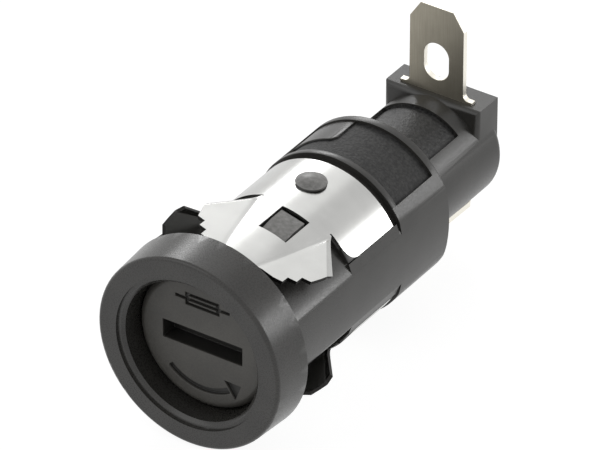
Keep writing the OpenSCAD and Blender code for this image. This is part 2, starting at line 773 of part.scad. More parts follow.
module side_terminal() {
    low_tilt = atan2(low_tab_fall, low_tab_end - barrel_len);
    tab_len = norm([low_tab_end - barrel_len, low_tab_fall]);
    finger_z = rail_low + finger_th / 2;
    color(tinned) {
        bent_strip([[finger_tip_y, finger_crest_z - finger_flare], [finger_crest_y, finger_crest_z],
            [finger_root_y, finger_z], [finger_root_y + finger_seat, finger_z]], finger_th, finger_w);
        translate([-rail_w / 2, finger_root_y, rail_low])
            cube([rail_w, barrel_len + step_gap + step_lap - finger_root_y, tab_th]);
        translate([0, barrel_len + step_gap, rail_low]) rotate([-low_tilt, 0, 0]) linear_extrude(tab_th)
            difference() {
                tab_end(0, tab_len - step_gap);
                translate([0, tab_len - low_hole_in]) obround(tab_hole_w, tab_hole_len);
            }
    }
}

housing();
spring_clip();
upper_right_wing();
upper_left_wing();
side_upper_wing();
side_lower_wing();
lower_left_wing();
lower_right_wing();
carrier_cap();
contact_sleeve();
fuse_front_cap();
fuse_tube();
fuse_wire();
fuse_rear_cap();
rear_contact();
contact_spring();
rear_terminal();
side_terminal();
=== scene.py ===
# %% [markdown]
# A cartridge fuse holder that snaps into a panel. The sizes, the places and the way the pieces
# move come from a finished CAD model, which is loaded here as a fixed frame. Blender adds what
# CAD leaves out: soft edges, folds in sheet metal, a smooth spring and the finish of every
# surface. Nothing is moved to fit, because the frame and this file share one origin, in metres:
# the axis runs along Y and +Z is up.

# %% Load the frame
import json
import math

import bmesh
import bpy
from mathutils import Matrix, Vector


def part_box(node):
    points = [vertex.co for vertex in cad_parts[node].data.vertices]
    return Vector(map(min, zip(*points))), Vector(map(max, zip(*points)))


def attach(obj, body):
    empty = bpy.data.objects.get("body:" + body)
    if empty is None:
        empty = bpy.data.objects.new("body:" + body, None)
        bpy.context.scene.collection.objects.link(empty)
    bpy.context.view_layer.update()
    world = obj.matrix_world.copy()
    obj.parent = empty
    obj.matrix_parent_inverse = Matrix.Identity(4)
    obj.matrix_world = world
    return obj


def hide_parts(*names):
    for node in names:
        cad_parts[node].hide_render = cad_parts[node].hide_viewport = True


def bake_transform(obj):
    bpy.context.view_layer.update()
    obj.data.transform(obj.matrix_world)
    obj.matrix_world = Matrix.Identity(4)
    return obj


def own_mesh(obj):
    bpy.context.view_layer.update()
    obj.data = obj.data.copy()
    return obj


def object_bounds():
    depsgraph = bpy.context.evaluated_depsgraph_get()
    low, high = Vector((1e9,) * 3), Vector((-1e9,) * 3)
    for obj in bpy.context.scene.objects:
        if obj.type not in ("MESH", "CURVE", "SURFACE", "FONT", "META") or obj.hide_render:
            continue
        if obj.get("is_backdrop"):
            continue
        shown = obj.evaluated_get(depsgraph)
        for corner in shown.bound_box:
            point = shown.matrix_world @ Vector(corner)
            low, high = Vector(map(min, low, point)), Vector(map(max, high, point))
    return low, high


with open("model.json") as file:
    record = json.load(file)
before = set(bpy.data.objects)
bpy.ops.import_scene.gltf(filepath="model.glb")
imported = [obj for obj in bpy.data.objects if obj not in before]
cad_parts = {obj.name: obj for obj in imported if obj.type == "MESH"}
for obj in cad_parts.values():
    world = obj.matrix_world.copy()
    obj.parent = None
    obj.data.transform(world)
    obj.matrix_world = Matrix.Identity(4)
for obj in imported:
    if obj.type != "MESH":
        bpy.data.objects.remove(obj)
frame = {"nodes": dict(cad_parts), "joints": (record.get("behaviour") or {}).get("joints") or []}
cad_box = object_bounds()
nodes = frame["nodes"]
joints = {joint["name"]: joint for joint in frame["joints"]}
mm = 0.001
print("nodes:", len(nodes), "box in mm:", [round(v / mm, 2) for corner in cad_box for v in corner])

# %% [markdown]
# The camera stands in front of the holder, to its right and above it, a long way off with a long
# lens, as in a catalogue photo. Far away and narrow keeps the round flange nearly free of
# perspective. A camera could be aimed by eye, but three angles, a distance and two small offsets
# can be read and changed.

# %% Camera
view_azimuth = math.radians(33.6)
view_elevation = math.radians(33.86)
view_roll = math.radians(0.16)
view_distance = 539.86 * mm
aim_right = 6.21 * mm
aim_up = 7.79 * mm

away = Vector((math.sin(view_azimuth) * math.cos(view_elevation),
               -math.cos(view_azimuth) * math.cos(view_elevation),
               math.sin(view_elevation)))
level = Vector((math.cos(view_azimuth), math.sin(view_azimuth), 0))
upright = away.cross(level)
right = level * math.cos(view_roll) + upright * math.sin(view_roll)
up = upright * math.cos(view_roll) - level * math.sin(view_roll)

scene = bpy.context.scene


def add_to_scene(name, data):
    """A new object that shows this mesh, lamp or camera."""
    thing = bpy.data.objects.new(name, data)
    scene.collection.objects.link(thing)
    return thing


camera_data = bpy.data.cameras.new("catalogue_camera")
camera_data.sensor_width = 36
camera_data.lens = 444.7
camera = add_to_scene("catalogue_camera", camera_data)
camera.matrix_world = Matrix((right, up, away)).transposed().to_4x4()
camera.location = right * aim_right + up * aim_up + away * view_distance
bpy.context.scene.camera = camera
print("camera at", [round(v, 3) for v in camera.location])

# %% [markdown]
# A catalogue picture has no horizon, only white. The floor is a large plane just under the
# holder. To the camera, and in mirror reflections, it gives off most of its white by itself, and
# the rest comes from the lamps, so a soft shadow stays. To all other rays it is plain pale card,
# which keeps the light level true.

# %% White studio
scene.view_settings.view_transform = "Standard"
floor_half = 3.0
floor_z = cad_box[0].z - 0.05 * mm
card_white = 0.8
shadow_part = 0.25
glow_part = 0.9
soft_room_light = 0.45


def seen_directly(tree):
    """1 for rays from the camera, from mirrors and through glass, and 0 for soft light."""
    path = tree.nodes.new("ShaderNodeLightPath")
    seen = path.outputs["Is Camera Ray"]
    for kind in ("Is Glossy Ray", "Is Transmission Ray"):
        either = tree.nodes.new("ShaderNodeMath")
        either.operation = "MAXIMUM"
        tree.links.new(seen, either.inputs[0])
        tree.links.new(path.outputs[kind], either.inputs[1])
        seen = either.outputs[0]
    return seen


def white_floor_finish():
    """Pale card for soft light, and a glow with a weak card under it where the floor is seen."""
    material = bpy.data.materials.new("white_card")
    material.use_nodes = True
    tree = material.node_tree
    tree.nodes.clear()
    card = tree.nodes.new("ShaderNodeBsdfDiffuse")
    card.inputs["Color"].default_value = (card_white, card_white, card_white, 1)
    shadowed = tree.nodes.new("ShaderNodeBsdfDiffuse")
    shadowed.inputs["Color"].default_value = (shadow_part, shadow_part, shadow_part, 1)
    glow = tree.nodes.new("ShaderNodeEmission")
    glow.inputs["Strength"].default_value = glow_part
    seen = tree.nodes.new("ShaderNodeAddShader")
    tree.links.new(shadowed.outputs[0], seen.inputs[0])
    tree.links.new(glow.outputs[0], seen.inputs[1])
    choose = tree.nodes.new("ShaderNodeMixShader")
    tree.links.new(seen_directly(tree), choose.inputs[0])
    tree.links.new(card.outputs[0], choose.inputs[1])
    tree.links.new(seen.outputs[0], choose.inputs[2])
    out = tree.nodes.new("ShaderNodeOutputMaterial")
    tree.links.new(choose.outputs[0], out.inputs["Surface"])
    return material


floor_mesh = bpy.data.meshes.new("studio_floor")
corners = [(-floor_half, -floor_half), (floor_half, -floor_half),
           (floor_half, floor_half), (-floor_half, floor_half)]
floor_mesh.from_pydata([(x, y, floor_z) for x, y in corners], [], [(0, 1, 2, 3)])
floor_mesh.materials.append(white_floor_finish())
studio_floor = add_to_scene("studio_floor", floor_mesh)
studio_floor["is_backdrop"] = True

room = bpy.data.worlds.new("white_room")
scene.world = room
room.use_nodes = True
room_tree = room.node_tree
background = room_tree.nodes["Background"]
background.inputs["Color"].default_value = (1, 1, 1, 1)
strength = room_tree.nodes.new("ShaderNodeMapRange")
strength.inputs["To Min"].default_value = soft_room_light
strength.inputs["To Max"].default_value = 1.0
room_tree.links.new(seen_directly(room_tree), strength.inputs["Value"])
room_tree.links.new(strength.outputs[0], background.inputs["Strength"])
print("floor at z =", round(floor_z / mm, 2), "mm")

# %% [markdown]
# Four soft boxes light the holder. Where each one stands is found by asking which way the
# camera's look bounces off a surface: a box in that direction shows up there as a highlight. A
# small bright one behind and to the left draws the stripe along the top of the barrel, a wide
# weak one above fades its edge, one behind and to the right lights the flank, and a weak one in
# front opens the shadows.

# %% Lamps


def soft_box(name, direction, distance, width, height, brightness):
    """An area lamp that faces the holder. In a mirror a brightness of 1 would be white."""
    lamp = bpy.data.lights.new(name, "AREA")
    lamp.shape = "RECTANGLE"
    lamp.size = width
    lamp.size_y = height
    lamp.energy = brightness * math.pi * width * height
    box = add_to_scene(name, lamp)
    towards = Vector(direction).normalized()
    middle = (cad_box[0] + cad_box[1]) / 2
    box.location = middle + towards * distance
    box.rotation_euler = towards.to_track_quat("Z", "Y").to_euler()


soft_box("key_box", (-0.57, 0.69, 0.44), distance=0.5, width=0.14, height=0.14, brightness=7.5)
soft_box("top_box", (-0.22, 0.67, 0.71), distance=0.6, width=0.3, height=0.3, brightness=0.5)
soft_box("flank_box", (0.71, 0.65, 0.25), distance=0.5, width=0.13, height=0.16, brightness=7.3)
soft_box("front_box", (-0.5, -0.7, 0.7), distance=0.7, width=0.5, height=0.5, brightness=0.8)

# %% [markdown]
# A finish starts as a Principled shader and textures that are fixed to the piece itself. One
# small helper adds a node and fills its sockets, so that each finish below reads as a list of
# what its surface has. The same helper can tell how far a point lies from the axis, where along
# it and at which angle round it, and mark a zone by those three numbers. That puts two finishes
# on one moulding without cutting its mesh.

# %% Finish helpers


class Finish:
    """A material under construction: its node tree, its shader and its place on the piece."""

    def __init__(self, name):
        self.material = bpy.data.materials.new(name)
        self.material.use_nodes = True
        self.tree = self.material.node_tree
        self.shader = self.tree.nodes["Principled BSDF"]
        where = self.add("ShaderNodeTexCoord").outputs
        self.place = where["Object"]
        self.facing = where["Normal"]

    def add(self, kind, settings=None, **sockets):
        """A new node. Each socket, its spaces written as _, is given a value or another socket."""
        node = self.tree.nodes.new(kind)
        for key, value in (settings or {}).items():
            setattr(node, key, value)
        for key, value in sockets.items():
            self.feed(node.inputs[key.replace("_", " ")], value)
        return node

    def feed(self, socket, value):
        if isinstance(value, bpy.types.NodeSocket):
            self.tree.links.new(value, socket)
        else:
            socket.default_value = value

    def set(self, **sockets):
        """Feeds the shader's own sockets."""
        for key, value in sockets.items():
            self.feed(self.shader.inputs[key.replace("_", " ")], value)

    def source(self, key):
        """What feeds the shader's socket of that name so far."""
        return self.shader.inputs[key].links[0].from_socket

    def math(self, operation, first, second=0.0):
        node = self.add("ShaderNodeMath", {"operation": operation})
        self.feed(node.inputs[0], first)
        self.feed(node.inputs[1], second)
        return node.outputs[0]

    def noise(self, grain, stretch=(1, 1, 1), detail=3.0):
        """Noise with specks about grain across, drawn out along the axes where stretch is large."""
        scaled = self.add("ShaderNodeMapping", Vector=self.place,
                          Scale=[1 / (grain * s) for s in stretch])
        texture = self.add("ShaderNodeTexNoise", Vector=scaled.outputs[0], Scale=1.0, Detail=detail)
        return texture.outputs["Fac"]

    def between(self, value, low, high, start=0.3, stop=0.7):
        """Value, from start to stop, spread from low to high."""
        ramp = self.add("ShaderNodeMapRange", Value=value)
        ends = {"From Min": start, "From Max": stop, "To Min": low, "To Max": high}
        for key, end in ends.items():
            self.feed(ramp.inputs[key], end)
        return ramp.outputs[0]

    def blend(self, value, first, second):
        """Colour that goes from first to second with value."""
        mix = self.add("ShaderNodeMix", {"data_type": "RGBA"})
        colours = [socket for socket in mix.inputs if socket.type == "RGBA"]
        self.feed(mix.inputs["Factor"], value)
        self.feed(colours[0], first)
        self.feed(colours[1], second)
        return next(socket for socket in mix.outputs if socket.type == "RGBA")

    def bump(self, height, depth, strength=1.0):
        node = self.add("ShaderNodeBump", Height=height, Distance=depth, Strength=strength)
        return node.outputs[0]

    def parts(self, vector):
        """The x, y and z of a vector."""
        return self.add("ShaderNodeSeparateXYZ", Vector=vector).outputs

    def polar(self):
        """Distance from the holder's axis, place along it, and angle round it from the top."""
        x, y, z = self.parts(self.place)
        square = self.math("ADD", self.math("MULTIPLY", x, x), self.math("MULTIPLY", z, z))
        return self.math("SQRT", square), y, self.math("ARCTAN2", x, z)

    def zone(self, *limits):
        """1 where every (value, low, high, blur) lies from low to high, fading over blur."""
        mask = 1.0
        for value, low, high, blur in limits:
            rise = self.between(value, 0.0, 1.0, low - blur, low)
            fall = self.between(value, 1.0, 0.0, high, high + blur)
            mask = self.math("MULTIPLY", mask, self.math("MULTIPLY", rise, fall))
        return mask


def grey(level, warmth=0.0):
    """A grey, with its blue lowered where it is warm."""
    return (level, level * (1 - 0.3 * warmth), level * (1 - warmth), 1)


print("a finish can:", [name for name in vars(Finish) if not name.startswith("_")])

# %% [markdown]
# The housing and the carrier are moulded in black thermoplastic. It isn't pure black: the satin
# skin scatters a little light, so its colour is a dark grey with faint clouds and a fine grain.
# The carrier's slot and engraved marks are painted near black, a painted shade for the shade that
# fills those hollows. They lie deeper than the face, so a zone that starts just behind it finds
# them.

# %% Moulded plastic
plastic_warmth = 0.14
grain_size = 0.12 * mm
cloud_size = 3 * mm
engraved_front = -1.42 * mm
engraved_rear = 2 * mm
engraved_radius = 4.9 * mm
slot_shade_level = 0.014


def moulded_plastic(name, level, rough):
    """Black plastic of about that grey and roughness, with faint clouds and a fine grain."""
    f = Finish(name)
    grain = f.noise(grain_size, detail=2.0)
    specks = f.between(f.math("ADD", f.noise(cloud_size), grain), 0.0, 1.0, 0.75, 1.25)
    darkest = grey(level * 0.8, plastic_warmth)
    palest = grey(level * 1.4, plastic_warmth)
    f.set(Base_Color=f.blend(specks, darkest, palest),
          Roughness=f.between(grain, rough - 0.05, rough + 0.07),
          Normal=f.bump(grain, 0.004 * mm, 0.5), IOR=1.5)
    return f


def carrier_plastic():
    f = moulded_plastic("moulded_carrier", level=0.06, rough=0.5)
    radius, along, _ = f.polar()
    # painted shade: the slot and the engraved marks are coloured near black
    painted_slot_shade = f.zone((radius, 0, engraved_radius, 0.05 * mm),
                      (along, engraved_front, engraved_rear, 0.05 * mm))
    black = grey(slot_shade_level, plastic_warmth)
    f.set(Base_Color=f.blend(painted_slot_shade, f.source("Base Color"), black))
    return f.material


carrier_black = carrier_plastic()
print("carrier:", carrier_black.name, "with", len(carrier_black.node_tree.nodes), "nodes")

# %% [markdown]
# The housing has several finishes in one moulding. Its two sunk label panels were spark eroded in
# the mould, which leaves them rough and mottled. The latches and stud heads are painted pale, a
# painted sheen for the light their tops catch, and the block's top is matt. Each place could be a
# mesh of its own, but a zone in the finish leaves the moulding whole, and needs only where the
# place begins and ends.

# %% Places on the housing
label_half = math.radians(52)
label_front = 16.05 * mm
label_rear = 20.9 * mm
label_top = 6.5 * mm
rear_label_half = math.radians(45)
rear_label_front = 21.7 * mm
rear_label_rear = 27.5 * mm
rear_label_top = 4.65 * mm
neck_radius = 5.95 * mm
latch_base = neck_radius + 0.15 * mm
latch_front = 5 * mm
latch_rear = 8.4 * mm
latch_right = 3.5 * mm
stud_angles = (math.radians(3.5), math.radians(-183.5))
stud_rim_top = 6.75 * mm
stud_front = 10.7 * mm
stud_rear = 13.4 * mm
block_front = 28.9 * mm
block_top = 4.85 * mm
far = 1.0
crisp = 0.02 * mm


def label_floors(f):
    """The zones of the large label panel's floor and of the small one's behind it."""
    radius, along, angle = f.polar()
    large = f.zone((radius, 0, label_top, 0.03 * mm), (along, label_front, label_rear, crisp),
                   (angle, -label_half, label_half, 0.01))
    small = f.zone((radius, 0, rear_label_top, 0.05 * mm),
                   (along, rear_label_front, rear_label_rear, crisp),
                   (angle, -rear_label_half, rear_label_half, 0.01))
    return large, small


def painted_sheen_tops(f):
    """Painted sheen on the latches and the stud heads, in patches. Each stud has its own upward
    line.
    """
    radius, along, _ = f.polar()
    x, _, z = f.parts(f.place)
    latch = f.zone((radius, latch_base, far, 0.05 * mm), (along, latch_front, latch_rear, crisp),
                   (x, -far, latch_right, crisp))
    heights = [f.math("ADD", f.math("MULTIPLY", x, math.sin(turn)),
                      f.math("MULTIPLY", z, math.cos(turn))) for turn in stud_angles]
    stud = f.zone((f.math("MAXIMUM", *heights), stud_rim_top, far, crisp),
                  (along, stud_front, stud_rear, crisp))
    patches = f.between(f.noise(0.3 * mm), 0.55, 1.0)
    return f.math("MULTIPLY", f.math("MAXIMUM", latch, stud), patches)


print("label panels in mm along the axis:", [round(v / mm, 2) for v in (
    label_front, label_rear, rear_label_front, rear_label_rear)])

# %% [markdown]
# The zones now choose the colour, the gloss and the bump. Each zone has its own share of
# dullness, and where two meet the duller one wins. The barrel also loses a little gloss from the
# flange to the rear.

# %% Housing plastic
label_warmth = 0.05
label_levels = (0.004, 0.032)
painted_sheen_level = 0.27
roughest = 0.75
rear_dullness = 0.12
rear_dull_from = 12 * mm
spark_depth = 0.1 * mm


def housing_plastic():
    f = moulded_plastic("moulded_housing", level=0.027, rough=0.28)
    large, small = label_floors(f)
    painted_sheen = painted_sheen_tops(f)
    _, along, z = f.parts(f.place)
    matt = f.zone((z, block_top - 0.05 * mm, far, crisp), (along, block_front, far, crisp))
    dull = f.between(along, 0.0, rear_dullness, 0.0, rear_dull_from)
    for zone, share in ((large, 0.8), (small, 0.4), (painted_sheen, 0.3), (matt, 0.3)):
        dull = f.math("MAXIMUM", dull, f.math("MULTIPLY", zone, share))
    etched = f.math("MAXIMUM", large, small)
    mottle = f.between(f.noise(0.25 * mm, detail=4.0), 0.0, 1.0, 0.4, 0.65)
    floor_colour = f.blend(mottle, *[grey(level, label_warmth) for level in label_levels])
    clean_colour = f.blend(etched, f.source("Base Color"), floor_colour)
    spark = f.noise(0.2 * mm, detail=4.0)
    # painted sheen: the latches and stud heads are coloured pale
    f.set(Base_Color=f.blend(painted_sheen, clean_colour, grey(painted_sheen_level, label_warmth)),
          Roughness=f.between(dull, f.source("Roughness"), roughest, 0.0, 1.0),
          Normal=f.bump(spark, spark_depth, f.between(etched, 0.004, 0.9, 0.0, 1.0)))
    return f.material


housing_black = housing_plastic()
print("housing:", housing_black.name, "with", len(housing_black.node_tree.nodes), "nodes")

# %% [markdown]
# The metals differ in what was done to them. The clip is bright spring steel, rolled so smooth
# that only faint clouds show, and the sheared edges of its wings are painted near black, a painted
# shade. The terminals are dull rolled tin with fine streaks, and their sheared edges are painted
# pale, a painted highlight. The helper asks which way a face looks: on a flat tab only the edges
# look sideways. The fuse has nickel caps, a fine wire and clear drawn glass, and the sprung
# contact behind it is turned from brass.

# %% Metals and glass
line_width = 0.07 * mm
stain_size = 2 * mm


def sheet_metal(name, colour, rough, lines, drawn=1.0):
    """Metal with faint clouds, and lines as strong as drawn along the axes where lines is large."""
    f = Finish(name)
    rolled = f.noise(line_width, lines)
    marks = f.math("ADD", f.noise(stain_size), f.math("MULTIPLY", rolled, drawn))
    cloud = f.between(marks, 0.0, 1.0, 0.3 + 0.35 * drawn, 0.7 + 0.65 * drawn)
    worn = [(0.93 - 0.13 * drawn) * c for c in colour[:3]] + [1]
    f.set(Base_Color=f.blend(cloud, colour, worn), Metallic=1.0,
          Roughness=f.between(rolled, rough - 0.03 * drawn, rough + 0.05 * drawn),
          Normal=f.bump(rolled, 0.0004 * mm * drawn, 0.3))
    return f


def tinned_sheet(name, face_axis):
    """Dull tin whose sheared edges, which look across face_axis, are painted bright, a painted
    highlight.
    """
    f = sheet_metal(name, (0.385, 0.357, 0.292, 1), 0.45, (1, 1, 40))
    across = f.parts(f.facing)[face_axis]
    edge = f.between(f.math("ABSOLUTE", across), 1.0, 0.0, 0.5, 0.8)
    # painted highlight: the edges that look sideways are coloured pale
    f.set(Base_Color=f.blend(edge, f.source("Base Color"), (0.86, 0.83, 0.75, 1)))
    return f.material


def drawn_glass(name):
    f = Finish(name)
    f.set(Base_Color=(0.94, 0.97, 0.96, 1), Transmission_Weight=1.0, IOR=1.5,
          Roughness=f.between(f.noise(1 * mm, (1, 12, 1)), 0.0, 0.03))
    return f.material


clip_steel = sheet_metal("clip_steel", (0.50, 0.50, 0.488, 1), 0.27, (40, 1, 40), 0.03).material
# painted shade: the wings' sheared edges are a near-black metal
painted_shade_edge_steel = sheet_metal("painted_shade_edge_steel", (0.028, 0.027, 0.026, 1), 0.55, (1, 1, 1)).material
upright_tin = tinned_sheet("tinned_upright", "Y")
flat_tin = tinned_sheet("tinned_flat", "Z")
sleeve_tin = sheet_metal("tinned_sleeve", (0.42, 0.40, 0.34, 1), 0.34, (1, 30, 1)).material
brass = sheet_metal("contact_brass", (0.72, 0.52, 0.24, 1), 0.28, (30, 1, 30)).material
nickel = sheet_metal("nickel_cap", (0.60, 0.57, 0.52, 1), 0.2, (30, 1, 30)).material
element = sheet_metal("fuse_element", (0.55, 0.53, 0.49, 1), 0.3, (1, 30, 1)).material
spring_steel = sheet_metal("spring_wire", (0.48, 0.48, 0.47, 1), 0.3, (1, 1, 1)).material
clear_glass = drawn_glass("fuse_glass")

finish_of = {
    "housing": housing_black, "carrier_cap": carrier_black, "spring_clip": clip_steel,
    "rear_terminal": upright_tin, "side_terminal": flat_tin, "contact_sleeve": sleeve_tin,
    "fuse_front_cap": nickel, "fuse_rear_cap": nickel, "fuse_wire": element,
    "fuse_tube": clear_glass, "rear_contact": brass,
}
for name, finish in finish_of.items():
    piece = nodes[name]
    piece.data.materials.clear()
    piece.data.materials.append(finish)
print("finished nodes:", len(finish_of))

# %% [markdown]
# No moulded edge is a knife edge. The CAD solids keep their sharp edges, and modifiers round them
# here: the triangles of each flat face are first joined, so that the bevel finds only real edges,
# and the shading is then weighted by face size, so that flat faces stay flat beside their rounded
# edges.

# %% Soft edges


def soften(piece, radius):
    weld = piece.modifiers.new("join_faces", "WELD")
    weld.merge_threshold = 0.0005 * mm
    flat = piece.modifiers.new("clear_flats", "DECIMATE")
    flat.decimate_type = "DISSOLVE"
    flat.angle_limit = math.radians(0.05)
    edge = piece.modifiers.new("soft_edge", "BEVEL")
    edge.limit_method = "ANGLE"
    edge.angle_limit = math.radians(32)
    edge.width = radius
    edge.segments = 2
    shade = piece.modifiers.new("even_shading", "WEIGHTED_NORMAL")
    shade.keep_sharp = False


edge_radius = {"housing": 0.08, "carrier_cap": 0.08, "rear_terminal": 0.05, "side_terminal": 0.05}
for name, radius in edge_radius.items():
    soften(nodes[name], radius * mm)
print("softened:", list(edge_radius))

# %% [markdown]
# The large label panel isn't one plain hollow: a narrow rim closes it towards the clip, and a
# smooth raised pad fills one corner. Both are thin plates that follow the barrel, so each is cut
# flat and then rolled up: a point's place across the plate becomes an angle, and its height
# becomes a radius. As a strip of paper needs many small folds to lie on a tube, the plate first
# gets cuts across it, two degrees apart.

# %% Label rim and pad
barrel_radius = 6.75 * mm
label_floor = barrel_radius - 0.3 * mm
sunk = 0.05 * mm
pad_height = 0.17 * mm
plate_edge = 0.06 * mm


def cut_plate(outline, cuts, thickness):
    """A flat plate with that outline, cut across at each (point, direction), where it can bend."""
    shape = bmesh.new()
    shape.faces.new([shape.verts.new((p.x, p.y, 0)) for p in outline])
    for at, across in cuts:
        everything = shape.verts[:] + shape.edges[:] + shape.faces[:]
        bmesh.ops.bisect_plane(shape, geom=everything, plane_co=at, plane_no=across, dist=1e-8)
    grown = bmesh.ops.extrude_face_region(shape, geom=shape.faces[:], use_keep_orig=True)
    lifted = [v for v in grown["geom"] if isinstance(v, bmesh.types.BMVert)]
    bmesh.ops.translate(shape, verts=lifted, vec=(0, 0, thickness))
    bmesh.ops.recalc_face_normals(shape, faces=shape.faces[:])
    return shape


def finished_mesh(name, shape, *finishes):
    """The mesh of a bent plate, smooth over its bends, sharp at its edges, with faces outwards."""
    bmesh.ops.recalc_face_normals(shape, faces=shape.faces[:])
    if shape.calc_volume(signed=True) < 0:
        bmesh.ops.reverse_faces(shape, faces=shape.faces[:])
    mesh = bpy.data.meshes.new(name)
    shape.to_mesh(mesh)
    shape.free()
    mesh.shade_smooth()
    mesh.set_sharp_from_angle(angle=math.radians(35))
    for finish in finishes:
        mesh.materials.append(finish)
    return mesh


def rolled_plate(name, outline, low, high):
    """A plate between two radii. Its outline is in degrees round the axis and mm along it."""
    points = [Vector(p) for p in outline]
    cuts = [((turn, 0, 0), (1, 0, 0)) for turn in range(-180, 180, 2)]
    shape = cut_plate(points, cuts, high - low)
    for vert in shape.verts:
        turn = math.radians(vert.co.x)
        radius = low + vert.co.z
        vert.co = (radius * math.sin(turn), vert.co.y * mm, radius * math.cos(turn))
    piece = add_to_scene(name, finished_mesh(name, shape, housing_black))
    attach(piece, "holder")
    soften(piece, plate_edge)


rim_outline = [(-52.3, 15.51), (52.3, 15.51), (52.3, 16.05), (-52.3, 16.05)]
pad_outline = [(-52.3, 18.05), (-16.5, 18.05), (-13.5, 18.45), (-13.5, 20.95), (-52.3, 20.95)]
rolled_plate("label_rim", rim_outline, label_floor - sunk, barrel_radius - 0.005 * mm)
rolled_plate("label_pad", pad_outline, label_floor - sunk, label_floor + pad_height)
print("on the label panel: a rim and a pad")

# %% [markdown]
# Beside the clip the moulding sweeps from the round neck into the side flat, where the CAD model
# has a plain step. A ramp fills the step on each side of the flat: a hollow sweep along the neck,
# low enough for the wings to spring in, and a straight one beside the band. Both leave the flat's
# rounded edge along its tangent, because surfaces that share a tangent show no seam. The sweep is
# a quadratic curve of three points, the middle one where the two tangents cross. A small pad
# fills the band's rounded corner.

# %% Ramps beside the flat
flat_edge = Vector((5.216, 1.849)) * mm
flat_edge_radius = 1.0 * mm
flat_edge_turn = math.radians(21)
neck_rear = 8.95 * mm
clip_low, clip_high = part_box("spring_clip")
band_rear = clip_high.y
ramp_rear = band_rear + 0.45 * mm
sweep_end = math.radians(40)
sweep_reach = 0.63 * mm
band_reach = 0.95 * mm
hidden_start, hidden_stop = 0.97, 0.93
edge_out = Vector((math.cos(flat_edge_turn), math.sin(flat_edge_turn)))
ramp_start = flat_edge + edge_out * flat_edge_radius
ramp_ahead = Vector((-edge_out.y, edge_out.x))


def closed_inside(curve):
    """The ramp's outer curve, with two more corners that lie hidden in the moulding."""
    return curve + [curve[-1] * hidden_stop, flat_edge * hidden_start]


def neck_sweep(steps=10):
    """Corners across the hollow ramp, from the flat's edge to the neck."""
    stop = Vector((math.sin(sweep_end), math.cos(sweep_end))) * neck_radius
    middle = ramp_start + ramp_ahead * sweep_reach
    curve = []
    for i in range(steps + 1):
        t = i / steps
        curve.append(ramp_start * (1 - t) ** 2 + middle * 2 * t * (1 - t) + stop * t ** 2)
    return closed_inside(curve)


def band_ramp():
    """Corners across the straight ramp that ends beside the band."""
    return closed_inside([ramp_start, ramp_start + ramp_ahead * band_reach])


def add_ramp(shape, corners, front, rear, side):
    """Draws the ramp out along the axis, above the flat for side 1 and below it for side -1."""
    rings = [[shape.verts.new((p.x, y, side * p.y)) for p in corners] for y in (front, rear)]
    shape.faces.new(rings[0])
    shape.faces.new(rings[1])
    for i in range(len(corners)):
        j = (i + 1) % len(corners)
        shape.faces.new((rings[0][i], rings[0][j], rings[1][j], rings[1][i]))


ramps = bmesh.new()
for side in (1, -1):
    add_ramp(ramps, neck_sweep(), 0, neck_rear, side)
    add_ramp(ramps, band_ramp(), neck_rear - sunk, ramp_rear, side)
flat_ramps = add_to_scene("flat_ramps", finished_mesh("flat_ramps", ramps, housing_black))
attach(flat_ramps, "holder")
corner_front, corner_rear = 8.96, 10.2
corner_low, corner_high = 6.2 * mm, 6.56 * mm
for name, first, last in (("upper_corner_pad", 51, 61.5), ("lower_corner_pad", 118.5, 129)):
    outline = [(first, corner_front), (last, corner_front),
               (last, corner_rear), (first, corner_rear)]
    rolled_plate(name, outline, corner_low, corner_high)
print("ramps along the neck and the band, to y =", round(band_rear / mm, 2), "mm")

# %% [markdown]
# Each wing of the clip is one piece of sheet with its panel on the real object, folded along a
# line. It is made here as a smith would: first cut flat, with its teeth, and then bent. The hinge
# of the frame gives the fold line, and a hidden tongue runs on inside the panel's own sheet. The
# outline below is measured along the fold and away from it.

# %% The clip's sheet and a wing's flat outline
sheet = 0.3 * mm
clip_inner = -clip_low.x - sheet
tongue = 0.3 * mm
root_rear = 0.15 * mm
root_front = 0.45 * mm
rear_foot = Vector((0.08, 0.12)) * mm
front_foot = Vector((0.2, 0.05)) * mm
crown = [Vector((2.82, 3.49)) * mm, Vector((4.27, 3.44)) * mm]
teeth = 3
tooth_first = Vector((5.15, 3.35)) * mm
tooth_pitch = Vector((1.0, -0.5)) * mm
tooth_cut = Vector((0.3, -0.65)) * mm


def wing_outline(length):
    """Corners of the flat wing: first along the fold from the band, then away from the fold."""
    points = [Vector((root_rear, -tongue)), Vector((root_rear, 0)), rear_foot] + crown
    for i in range(teeth):
        tip = tooth_first + tooth_pitch * i
        points += [tip, tip + tooth_cut]
    points += [Vector((length - front_foot.x, front_foot.y)), Vector((length - root_front, 0)),
               Vector((length - root_front, -tongue))]
    return points


print("sheet in mm:", round(sheet / mm, 2), "inner radius:", round(clip_inner / mm, 2))

# %% [markdown]
# The bends are only formulas for where a point of the flat sheet goes, so extra cuts are laid
# across the sheet where a bend needs room to curve. First the lip along the wing's slanted side
# turns down, which stiffens the wing, and then the whole wing turns up at the fold.

# %% Cutting and bending one wing
fold_room = 0.7 * mm
fold_cuts = 8
length_cuts = 8
tongue_cover = 0.01 * mm
lip_start = Vector((0.6, 0.15)) * mm
lip_stop = Vector((3.75, 3.55)) * mm
lip_angle = math.radians(32)
lip_radius = 0.3 * mm
lip_grows = (0.1 * mm, 1.0 * mm)
lip_cuts = (-0.1, 0, 0.25, 0.5, 0.75, 1, 1.5)
lip_along = (lip_stop - lip_start).normalized()
lip_out = Vector((-lip_along.y, lip_along.x))


def smooth(value, start, stop):
    """0 before start, 1 after stop, and an even curve between."""
    t = min(max((value - start) / (stop - start), 0), 1)
    return t * t * (3 - 2 * t)


